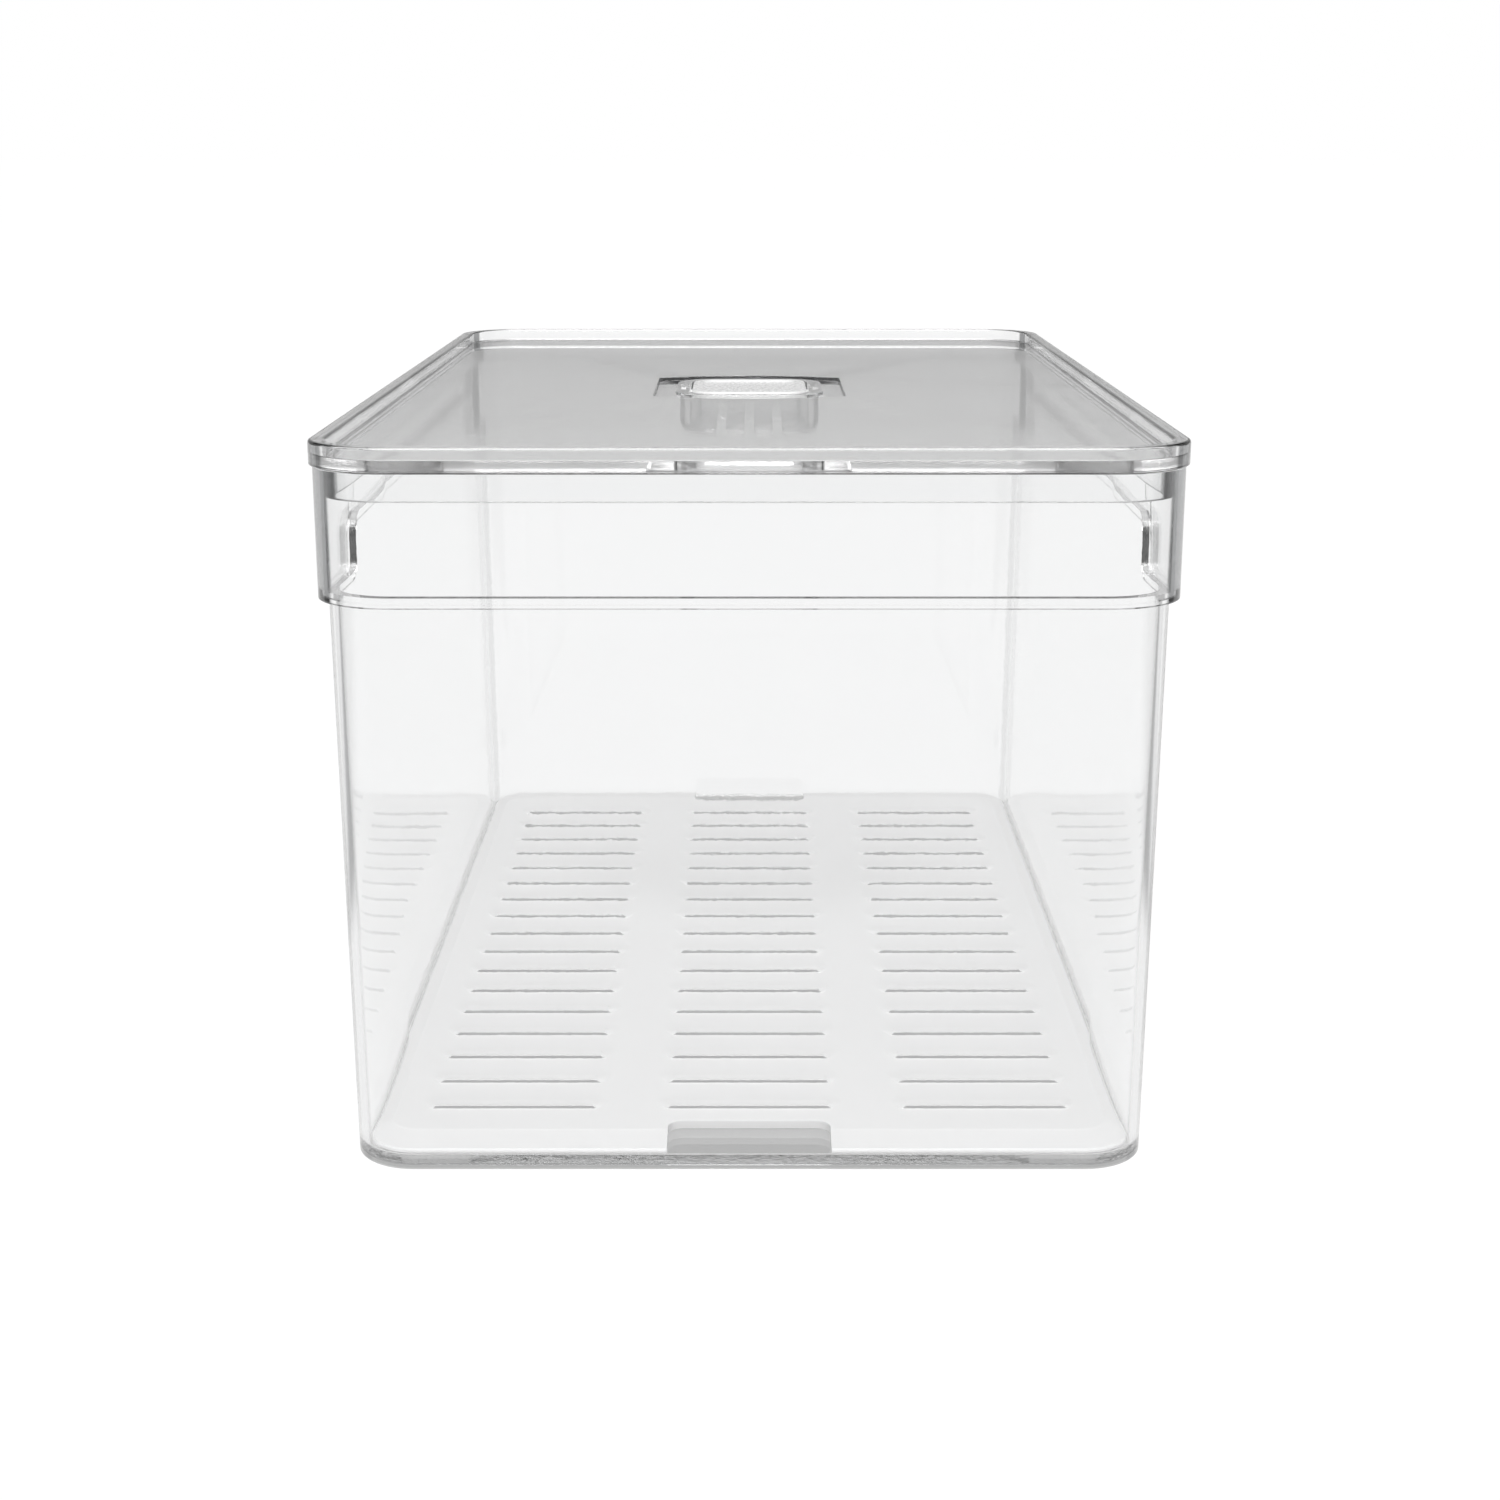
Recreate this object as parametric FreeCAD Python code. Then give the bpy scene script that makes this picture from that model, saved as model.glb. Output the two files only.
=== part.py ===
import FreeCAD, Part
import os
from math import cos, pi, sin

# Clear storage bin with a vented lift-off lid and a slotted drain tray.
# Millimetres, +Z up, +Y towards the back.  Origin: centre of the footprint, on the surface it stands on.

# ---------------------------------------------------------------- lid
lid_width = 220.0        # across X, outside the rim
lid_depth = 360.0        # along Y, outside the rim
lid_corner = 21.6        # plan radius of the rim's corners
plate_t = 2.7            # lid plate, also the flange that lies on the bin's top edge
rim_rise = 3.6           # rim above the plate: the seat for the next bin in a stack
rim_w = 4.4
plug_drop = 7.5          # skirt that goes down inside the bin
plug_t = 2.2
plug_clearance = 0.4     # plug to the bin's inner wall, each side

# ---------------------------------------------------------------- bin
wall = 2.5
band_inset = 0.9         # bin's upper band behind the lid's outer face, each side
step_out = 2.7           # upper band proud of the lower body
draft_in = 1.3           # lower body's foot inside its top, each side
ledge_z = 151.0          # underside of the step
band_h = 33.2            # step to top edge
floor_t = 3.0
foot_h = 0.4             # shallow ring the bin stands on
foot_w = 5.0
foot_edge = 1.0          # rounding of the lower outside edge
grip_inset = 45.1        # grip's end inside the band's end
grip_rise = 14.5         # grip's ledge above the main step
grip_top_r = 4.0
grip_flare_r = 5.5
lid_seat_gap = 0.3       # lid flange to the bin's top edge

# ---------------------------------------------------------------- drain tray
tray_clearance = 1.0     # tray to the bin's wall, each side
tray_seat_gap = 0.25     # tray to the bin's floor
tray_h = 2.35            # overall height of the tray
tray_edge_h = 1.0        # upright outer edge below the sloped border
tray_border_y = 9.6      # sloped border, front and back
tray_border_x = 4.0      # sloped border, sides
tray_t = 1.6
louver_pitch_y = 17.8
louver_pitch_x = 64.4
louver_margin_y = 23.4   # least distance from a hood to the tray's edge, front and back
louver_margin_x = 11.3   # the same, sides
louver_half = 25.8       # half width of a hood, tip to tip
louver_end = 22.3        # half width of its front edge
louver_len = 11.4
louver_rise = 1.0        # hood's front edge above the plate
louver_roof = 0.45
louver_cheek = 0.5       # wall left at each end of the drain slot
slot_w = 4.0
notch_half = 21.8        # finger notches, front and back
notch_in = 15.6          # depth of the notch from the tray's edge
notch_r = 4.0

# ---------------------------------------------------------------- vent
vent_y = -3.0            # centre of the vent along Y
recess_half_x = 29.2
recess_half_y = 35.0     # on the centre line
recess_corner_y = 27.5   # at the sides
recess_t = 1.2
flap_half_x = 17.8
flap_half_y = 19.8
flap_proud = 0.4         # flap's top above the lid plate
flap_h = 3.0
flap_t = 1.6
flap_corner = 7.0
flap_dish = 0.6          # depth of the sunk panel in its top
flap_rim = 3.4           # rim round that panel
pin_d = 2.0
pin_clearance = 0.05     # radial, pin in its bore
pin_len = 2.4
pin_below_top = 2.3      # pin axis below the flap's top
boss_t = 0.6             # boss round each pin, inside the flap
boss_len = 1.4
flap_gap = 0.5           # flap to the housing, each side
housing_t = 3.2
housing_floor_t = 1.8
housing_drop = 12.0      # cup below the lid plate's underside
housing_fit = 0.2        # housing in the lid's opening, each side
flange_w = 1.3           # flange beyond the cup's outer wall
flange_t = 1.0
catch_w = 0.6            # catches that hold the housing under the plate
catch_h = 1.2
catch_gap = 0.2
vent_slots = 3
vent_slot_pitch = 8.6
vent_slot_w = 3.0
vent_slot_h = 4.5

# ---------------------------------------------------------------- worked out from the sizes above
band_top = ledge_z + band_h
grip_z = ledge_z + grip_rise
floor_z = foot_h + floor_t
plate_low = band_top + lid_seat_gap
plate_top = plate_low + plate_t
rim_top = plate_top + rim_rise
band_x = lid_width / 2 - band_inset
band_y = lid_depth / 2 - band_inset
band_r = lid_corner - band_inset
grip_half = band_y - grip_inset
body_x = band_x - step_out
body_y = band_y - step_out
body_r = band_r - step_out
foot_x = body_x - draft_in
foot_y = body_y - draft_in
foot_r = body_r - draft_in
tray_low = floor_z + tray_seat_gap
tray_top = tray_low + tray_h
flap_top = plate_top + flap_proud
pin_z = flap_top - pin_below_top
cup_x = flap_half_x + flap_gap + housing_t
cup_y = flap_half_y + flap_gap + housing_t
cup_r = flap_corner + flap_gap + housing_t
cup_low = plate_low - housing_drop
recess_floor = plate_top - recess_t


def vec(x, y, z):
    return FreeCAD.Vector(x, y, z)


def arc(center, radius, start_deg, end_deg, z):
    """Arc in a horizontal plane, from start to end, as an edge."""
    points = []
    for k in range(3):
        angle = (start_deg + (end_deg - start_deg) * k / 2) * pi / 180
        points.append(vec(center[0] + radius * cos(angle), center[1] + radius * sin(angle), z))
    return Part.Arc(points[0], points[1], points[2]).toShape()


def line(a, b):
    return Part.LineSegment(a, b).toShape()


def outline(half_x, half_y, radius, z, center_y=0.0):
    """Rounded rectangle as a closed wire."""
    cx = half_x - radius
    cy = half_y - radius
    top = center_y + half_y
    low = center_y - half_y
    edges = [
        line(vec(-cx, low, z), vec(cx, low, z)),
        arc((cx, center_y - cy), radius, -90, 0, z),
        line(vec(half_x, center_y - cy, z), vec(half_x, center_y + cy, z)),
        arc((cx, center_y + cy), radius, 0, 90, z),
        line(vec(cx, top, z), vec(-cx, top, z)),
        arc((-cx, center_y + cy), radius, 90, 180, z),
        line(vec(-half_x, center_y + cy, z), vec(-half_x, center_y - cy, z)),
        arc((-cx, center_y - cy), radius, 180, 270, z),
    ]
    return Part.Wire(edges)


def prism(half_x, half_y, radius, z0, z1, center_y=0.0):
    face = Part.Face(outline(half_x, half_y, radius, z0, center_y))
    return face.extrude(vec(0, 0, z1 - z0))


def taper(low, high, z0, z1):
    """Drafted block between two rounded rectangles, each (half_x, half_y, radius)."""
    return Part.makeLoft([outline(*low, z0), outline(*high, z1)], True, True)


def block(x0, x1, y0, y1, z0, z1):
    return Part.makeBox(x1 - x0, y1 - y0, z1 - z0, vec(x0, y0, z0))


def joined(first, others):
    return first.multiFuse(others).removeSplitter()


def grip_cut(offset, base_z, outward):
    """Side grips seen along X: a long opening in the band, flared where it meets the step."""
    half = grip_half + offset
    top = grip_z + offset
    top_r = grip_top_r + offset
    flare = grip_flare_r - offset
    low = base_z - 5.0
    x = -outward
    corner = cos(pi / 4)

    def bend(y_mid, z_mid, radius, y_sign, z_sign):
        return vec(x, y_mid + y_sign * radius * corner, z_mid + z_sign * radius * corner)

    def side(s):
        """Points of one end, from the step line up to the top."""
        return [
            vec(x, s * (half + flare), base_z),
            bend(s * (half + flare), base_z + flare, flare, -s, -1),
            vec(x, s * half, base_z + flare),
            vec(x, s * half, top - top_r),
            bend(s * (half - top_r), top - top_r, top_r, s, 1),
            vec(x, s * (half - top_r), top),
        ]

    right = side(1)
    left = side(-1)
    edges = [
        line(vec(x, -(half + flare), low), vec(x, half + flare, low)),
        line(vec(x, half + flare, low), right[0]),
        Part.Arc(right[0], right[1], right[2]).toShape(),
        line(right[2], right[3]),
        Part.Arc(right[3], right[4], right[5]).toShape(),
        line(right[5], left[5]),
        Part.Arc(left[5], left[4], left[3]).toShape(),
        line(left[3], left[2]),
        Part.Arc(left[2], left[1], left[0]).toShape(),
        line(left[0], vec(x, -(half + flare), low)),
    ]
    return Part.Face(Part.Wire(edges)).extrude(vec(2 * outward, 0, 0))


def shell_form(inset, low_z, step_z, top_z, grips):
    """Lower body, step and upper band, all drawn in by one inset."""
    foot = (foot_x - inset, foot_y - inset, foot_r - inset)
    body = (body_x - inset, body_y - inset, body_r - inset)
    band = (band_x - inset, band_y - inset, band_r - inset)
    lower = taper(foot, body, low_z, ledge_z)
    neck = prism(*body, ledge_z, top_z)
    upper = prism(*band, step_z, top_z).cut(grips)
    return joined(lower, [neck, upper])


def make_bin_body():
    """Open tub: drafted lower body, stepped-out band and a long grip in each side."""
    reach = lid_width
    outside = shell_form(0.0, 0.0, ledge_z, band_top, grip_cut(0.0, ledge_z, reach))
    inner_step = ledge_z + wall
    inside = shell_form(wall, floor_z, inner_step, band_top + 1.0, grip_cut(wall, inner_step, reach))
    rim_edges = [e for e in outside.Edges if e.BoundBox.ZMax < 0.01]
    tub = outside.makeFillet(foot_edge, rim_edges).cut(inside)
    under = prism(foot_x - foot_w, foot_y - foot_w, foot_r - foot_w, -1.0, foot_h)
    return tub.cut(under)


def recess_form(z0, z1):
    """Shallow recess round the vent: straight sides, ends bowed outwards."""
    front = vent_y - recess_half_y
    back = vent_y + recess_half_y
    corners = []
    for sx in (-1, 1):
        for sy in (-1, 1):
            corners.append(vec(sx * recess_half_x, vent_y + sy * recess_corner_y, z0))
    left_front, left_back, right_front, right_back = corners
    edges = [
        Part.Arc(left_front, vec(0, front, z0), right_front).toShape(),
        line(right_front, right_back),
        Part.Arc(right_back, vec(0, back, z0), left_back).toShape(),
        line(left_back, left_front),
    ]
    return Part.Face(Part.Wire(edges)).extrude(vec(0, 0, z1 - z0))


def make_lid():
    """Plate with a raised rim, a plug skirt below, and the vent's recess and opening."""
    half_x = lid_width / 2
    half_y = lid_depth / 2
    slab = prism(half_x, half_y, lid_corner, plate_low, rim_top)
    seat = prism(half_x - rim_w, half_y - rim_w, lid_corner - rim_w, plate_top, rim_top + 1.0)
    plug_in = wall + plug_clearance
    plug_x = band_x - plug_in
    plug_y = band_y - plug_in
    plug_r = band_r - plug_in
    plug = prism(plug_x, plug_y, plug_r, plate_low - plug_drop, plate_low)
    hollow = prism(plug_x - plug_t, plug_y - plug_t, plug_r - plug_t, plate_low - plug_drop - 1.0, plate_low)
    shape = joined(slab.cut(seat), [plug.cut(hollow)])
    shape = shape.cut(recess_form(recess_floor, plate_top + 1.0))
    opening_r = cup_r + housing_fit
    opening = prism(cup_x + housing_fit, cup_y + housing_fit, opening_r, plate_low - 1.0, plate_top, vent_y)
    return shape.cut(opening)


def make_vent_housing():
    """Cup that snaps into the lid, with pin bores, drain slots and a flange on the recess."""
    rim_z = recess_floor + catch_gap
    cup = prism(cup_x, cup_y, cup_r, cup_low, rim_z + flange_t, vent_y)
    flange_r = cup_r + flange_w
    flange = prism(cup_x + flange_w, cup_y + flange_w, flange_r, rim_z, rim_z + flange_t, vent_y)
    catches = []
    for s in (-1, 1):
        x0 = min(s * (cup_x - 1.0), s * (cup_x + catch_w))
        x1 = max(s * (cup_x - 1.0), s * (cup_x + catch_w))
        top = plate_low - catch_gap
        catches.append(block(x0, x1, vent_y - 6.0, vent_y + 6.0, top - catch_h, top))
    body = joined(cup, [flange] + catches)
    well_r = flap_corner + flap_gap
    well_x = cup_x - housing_t
    well_y = cup_y - housing_t
    well = prism(well_x, well_y, well_r, cup_low + housing_floor_t, rim_z + flange_t + 1.0, vent_y)
    bore_r = pin_d / 2 + pin_clearance
    bore_half = flap_half_x + pin_len + catch_gap
    bore = Part.makeCylinder(bore_r, 2 * bore_half, vec(-bore_half, vent_y, pin_z), vec(1, 0, 0))
    cuts = [well, bore]
    for k in range(vent_slots):
        x = (k - (vent_slots - 1) / 2) * vent_slot_pitch
        x0 = x - vent_slot_w / 2
        x1 = x + vent_slot_w / 2
        z1 = cup_low + vent_slot_h
        cuts.append(block(x0, x1, vent_y - cup_y - 1.0, vent_y + cup_y + 1.0, cup_low - 1.0, z1))
    return body.cut(cuts)


def make_vent_flap():
    """Rocker that closes the vent: sunk panel in its top, hollow underside, a pin at each end."""
    low = flap_top - flap_h
    body = prism(flap_half_x, flap_half_y, flap_corner, low, flap_top, vent_y)
    inner_r = flap_corner - flap_t
    inner = prism(flap_half_x - flap_t, flap_half_y - flap_t, inner_r, low - 1.0, flap_top - flap_t, vent_y)
    panel_r = flap_corner - flap_rim
    panel_x = flap_half_x - flap_rim
    panel = prism(panel_x, flap_half_y - flap_rim, panel_r, flap_top - flap_dish, flap_top + 1.0, vent_y)
    pin_half = flap_half_x + pin_len
    pins = Part.makeCylinder(pin_d / 2, 2 * pin_half, vec(-pin_half, vent_y, pin_z), vec(1, 0, 0))
    core = flap_half_x - flap_t - boss_len
    reach = core + boss_len
    bosses = Part.makeCylinder(pin_d / 2 + boss_t, 2 * reach, vec(-reach, vent_y, pin_z), vec(1, 0, 0))
    middle = block(-core, core, vent_y - pin_d * 2, vent_y + pin_d * 2, low - pin_d, flap_top)
    below = block(-flap_half_x, flap_half_x, vent_y - pin_d * 2, vent_y + pin_d * 2, low - pin_d, low)
    bosses = bosses.cut([middle, below])
    return body.cut([inner, panel]).multiFuse([bosses, pins.cut(middle)]).removeSplitter()


def polyhedron(corners, faces):
    """Solid from named corner points and faces given as lists of their names."""
    sides = []
    for names in faces:
        loop = [corners[name] for name in names]
        sides.append(Part.Face(Part.makePolygon(loop + loop[:1])))
    return Part.makeSolid(Part.makeShell(sides))


def louver_hood(x, y):
    """Raised hood: its roof climbs towards the front edge, and both ends run out to a point."""
    front = y - louver_len / 2
    back = y + louver_len / 2
    high = tray_top + louver_rise
    corners = {
        "front_left": vec(x - louver_end, front, tray_top),
        "front_right": vec(x + louver_end, front, tray_top),
        "tip_right": vec(x + louver_half, y, tray_top),
        "back_right": vec(x + louver_end, back, tray_top),
        "back_left": vec(x - louver_end, back, tray_top),
        "tip_left": vec(x - louver_half, y, tray_top),
        "lip_left": vec(x - louver_end, front, high),
        "lip_right": vec(x + louver_end, front, high),
    }
    faces = [
        ["front_left", "tip_left", "back_left", "back_right", "tip_right", "front_right"],
        ["front_left", "front_right", "lip_right", "lip_left"],
        ["lip_left", "lip_right", "back_right", "back_left"],
        ["front_right", "tip_right", "lip_right"],
        ["tip_right", "back_right", "lip_right"],
        ["front_left", "lip_left", "tip_left"],
        ["tip_left", "lip_left", "back_left"],
    ]
    return polyhedron(corners, faces)


def louver_slot(x, y):
    """Drain slot: open at the front under the hood's lip, and down through the plate."""
    front = y - louver_len / 2
    half = louver_end - louver_cheek
    mouth = tray_top + louver_rise - louver_roof
    end = front + slot_w
    inner = mouth - slot_w * louver_rise / louver_len
    below = tray_low - 1.0
    outside = front - 0.5
    profile = [(outside, tray_top), (outside, mouth), (front, mouth), (end, inner), (end, below),
               (front, below), (front, tray_top), (outside, tray_top)]
    points = [vec(x - half, py, pz) for py, pz in profile]
    return Part.Face(Part.makePolygon(points)).extrude(vec(2 * half, 0, 0))


def make_drain_tray():
    """Slotted plate on an upright edge, with a sloped border and a finger notch at each end."""
    draft = draft_in * floor_z / ledge_z
    edge_x = foot_x + draft - wall - tray_clearance
    edge_y = foot_y + draft - wall - tray_clearance
    edge_r = foot_r + draft - wall - tray_clearance
    edge = prism(edge_x, edge_y, edge_r, tray_low, tray_low + tray_edge_h)
    low = (edge_x, edge_y, edge_r)
    plateau_r = edge_r - tray_border_x
    high = (edge_x - tray_border_x, edge_y - tray_border_y, plateau_r)
    top = taper(low, high, tray_low + tray_edge_h, tray_top)
    hollow_low = (edge_x - tray_t, edge_y - tray_t, edge_r - tray_t)
    hollow_high = (high[0] - tray_t, high[1] - tray_t, high[2] - tray_t)
    body = joined(edge, [top]).cut(taper(hollow_low, hollow_high, tray_low, tray_top - tray_t))
    cuts = []
    for s in (-1, 1):
        center = s * (edge_y - notch_in + notch_half)
        cuts.append(prism(notch_half, notch_half, notch_r, tray_low - 1.0, tray_top + 1.0, center))
    hoods = []
    columns = int((2 * (edge_x - louver_margin_x - louver_half)) / louver_pitch_x) + 1
    rows = int((2 * (edge_y - louver_margin_y) - louver_len) / louver_pitch_y) + 1
    for column in range(columns):
        x = (column - (columns - 1) / 2) * louver_pitch_x
        for row in range(rows):
            y = (row - (rows - 1) / 2) * louver_pitch_y
            hoods.append(louver_hood(x, y))
            cuts.append(louver_slot(x, y))
    return body.multiFuse(hoods).cut(cuts)


makers = {
    "bin_body": make_bin_body,
    "lid": make_lid,
    "vent_housing": make_vent_housing,
    "vent_flap": make_vent_flap,
    "drain_tray": make_drain_tray,
}

os.makedirs("parts", exist_ok=True)
for name, maker in makers.items():
    shape = maker()
    shape.exportStep(f"parts/{name}.step")
    box = shape.BoundBox
    print(name, len(shape.Solids), shape.isValid(), round(shape.Volume / 1000, 2), "cm3",
          [round(v, 2) for v in (box.XMin, box.XMax, box.YMin, box.YMax, box.ZMin, box.ZMax)])
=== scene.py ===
"""Looks of a clear refrigerator bin with a vented lid and a louvred drain tray.

Every moulding is skinned here from rings of points whose outer sizes come from the CAD frame.  Mesh code
works in millimetres and each finished mesh is scaled to metres.
"""

from __future__ import annotations

import logging
import math
from collections.abc import Sequence
from dataclasses import dataclass, field, replace
from enum import Enum

import bmesh
import bpy
from mathutils import Matrix, Vector
from mathutils.geometry import delaunay_2d_cdt

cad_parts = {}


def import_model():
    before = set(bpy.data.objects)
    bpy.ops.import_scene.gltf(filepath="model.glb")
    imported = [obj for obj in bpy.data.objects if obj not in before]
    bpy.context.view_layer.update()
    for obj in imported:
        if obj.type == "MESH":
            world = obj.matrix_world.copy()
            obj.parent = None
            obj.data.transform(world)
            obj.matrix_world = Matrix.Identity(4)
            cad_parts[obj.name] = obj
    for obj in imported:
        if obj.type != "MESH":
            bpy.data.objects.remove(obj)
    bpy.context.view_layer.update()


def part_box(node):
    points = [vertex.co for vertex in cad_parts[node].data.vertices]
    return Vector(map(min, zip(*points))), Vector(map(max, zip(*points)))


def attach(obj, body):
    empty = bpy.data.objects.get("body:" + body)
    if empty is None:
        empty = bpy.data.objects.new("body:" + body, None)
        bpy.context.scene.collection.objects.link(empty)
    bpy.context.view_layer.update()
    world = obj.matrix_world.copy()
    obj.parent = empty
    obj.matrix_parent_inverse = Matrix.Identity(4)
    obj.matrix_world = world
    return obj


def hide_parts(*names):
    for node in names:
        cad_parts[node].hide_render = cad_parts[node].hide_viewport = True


MM = 0.001
WELD = 0.0015            # millimetres: points closer than this are one point
SHARP = math.radians(33.0)
FLAT_WEIGHT = 80         # how far large faces rule the shading of their edges
INSIDE = 1               # a filled sheet keeps only what lies inside its outlines
NEAR = 1e-5              # millimetres: a filled sheet joins points closer than this

Pair = tuple[float, float]
Colour = tuple[float, float, float]
Socket = bpy.types.NodeSocket
Tree = bpy.types.NodeTree
Piece = bpy.types.Object

WHITE: Colour = (1.0, 1.0, 1.0)

log = logging.getLogger("fridge_bin")


class Slot(Enum):
    """Material slots of the record."""

    CLEAR = "clear_plastic"
    FROSTED = "frosted_plastic"
    WHITE = "white_plastic"


class Body(Enum):
    """CAD bodies that the mouldings ride on."""

    BIN = "bin"
    LID = "lid"
    FLAP = "flap"
    TRAY = "tray"


# ---------------------------------------------------------------------------- plan and profile geometry


@dataclass(frozen=True)
class NodeBox:
    """Extent of one CAD node at rest, in millimetres."""

    low: Vector
    high: Vector

    @classmethod
    def of(cls, node: str) -> NodeBox:
        """Reads the box of a CAD node.

        Args:
            node: Name of the CAD node.

        Returns:
            Its box in millimetres.
        """
        low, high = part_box(node)
        return cls(low / MM, high / MM)

    @property
    def half_x(self) -> float:
        """Half of the width."""
        return (self.high.x - self.low.x) / 2

    @property
    def half_y(self) -> float:
        """Half of the depth."""
        return (self.high.y - self.low.y) / 2

    @property
    def center_y(self) -> float:
        """Middle of the depth."""
        return (self.high.y + self.low.y) / 2


def arc(center: Pair, radius: float, start: float, end: float, steps: int) -> list[Pair]:
    """Points of a circular arc.

    Args:
        center: Centre of the circle.
        radius: Its radius.
        start: First angle in degrees.
        end: Last angle in degrees.
        steps: Number of stretches.

    Returns:
        The points, both ends included.
    """
    points = []
    for step in range(steps + 1):
        angle = math.radians(start + (end - start) * step / steps)
        points.append((center[0] + radius * math.cos(angle), center[1] + radius * math.sin(angle)))
    return points


def rounded(corners: Sequence[tuple[float, float, float]], steps: int = 4) -> list[Pair]:
    """Profile through the given corners, with each corner rounded by its own radius.

    Args:
        corners: Corners as (inset, z, radius).
        steps: Stretches in each rounding.

    Returns:
        The profile as (inset, z) points.
    """
    points: list[Pair] = []
    for index, (inset, z, radius) in enumerate(corners):
        here = Vector((inset, z))
        if radius == 0.0 or index in (0, len(corners) - 1):
            points.append((inset, z))
            continue
        before = (Vector(corners[index - 1][:2]) - here).normalized()
        after = (Vector(corners[index + 1][:2]) - here).normalized()
        half = before.angle(after) / 2
        middle = here + (before + after).normalized() * (radius / math.sin(half))
        first = here + before * (radius / math.tan(half)) - middle
        turn = first.angle_signed(here + after * (radius / math.tan(half)) - middle)
        for step in range(steps + 1):
            spoke = first.copy()
            spoke.rotate(Matrix.Rotation(-turn * step / steps, 2))
            points.append(tuple(middle + spoke))
    return points


@dataclass(frozen=True)
class Outline:
    """Rounded rectangle in plan, with the steps its mesh needs along the corners and the ends."""

    half_x: float
    half_y: float
    radius: float
    center_y: float = 0.0
    corner_steps: int = 14
    end_steps: int = 1
    bow: float = 0.0

    def inset(self, amount: float) -> Outline:
        """The same outline drawn in on every side."""
        radius = max(self.radius - amount, 0.1)
        return replace(self, half_x=self.half_x - amount, half_y=self.half_y - amount, radius=radius)

    def ring(self, z: float, side: Sequence[Pair] = ()) -> list[Vector]:
        """Points round the outline, counter-clockwise from above.

        Args:
            z: Height of the ring.
            side: Extra (y, z) points along both long sides, from front to back.

        Returns:
            The ring's points.
        """
        cx = self.half_x - self.radius
        cy = self.half_y - self.radius
        flat: list[Vector] = []
        for quarter, (sx, sy) in enumerate(((1, -1), (1, 1), (-1, 1), (-1, -1))):
            start = -90.0 + 90.0 * quarter
            corner = arc((sx * cx, sy * cy), self.radius, start, start + 90.0, self.corner_steps)
            flat += [Vector((x, y, z)) for x, y in corner]
            if quarter == 0:
                flat += [Vector((self.half_x, y, level)) for y, level in side]
            elif quarter == 2:
                flat += [Vector((-self.half_x, y, level)) for y, level in reversed(side)]
            else:
                for step in range(1, self.end_steps):
                    x = sx * cx * (1 - 2 * step / self.end_steps)
                    flat.append(Vector((x, sy * self.half_y, z)))
        for point in flat:
            share = min(abs(point.x) / self.half_x, 1.0)
            point.y += math.copysign(self.bow * (1 - share * share), point.y) + self.center_y
        return flat


def spread(path: Sequence[Pair], z: float) -> list[Pair]:
    """Lays a path's points along a level line, spaced as they are on the path.

    Args:
        path: Points as (y, z).
        z: Height of the level line.

    Returns:
        As many points as the path has, between its two ends.
    """
    reach = [0.0]
    for here, there in zip(path, path[1:]):
        reach.append(reach[-1] + math.dist(here, there))
    first = path[0][0]
    span = path[-1][0] - first
    return [(first + span * part / reach[-1], z) for part in reach]


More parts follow.
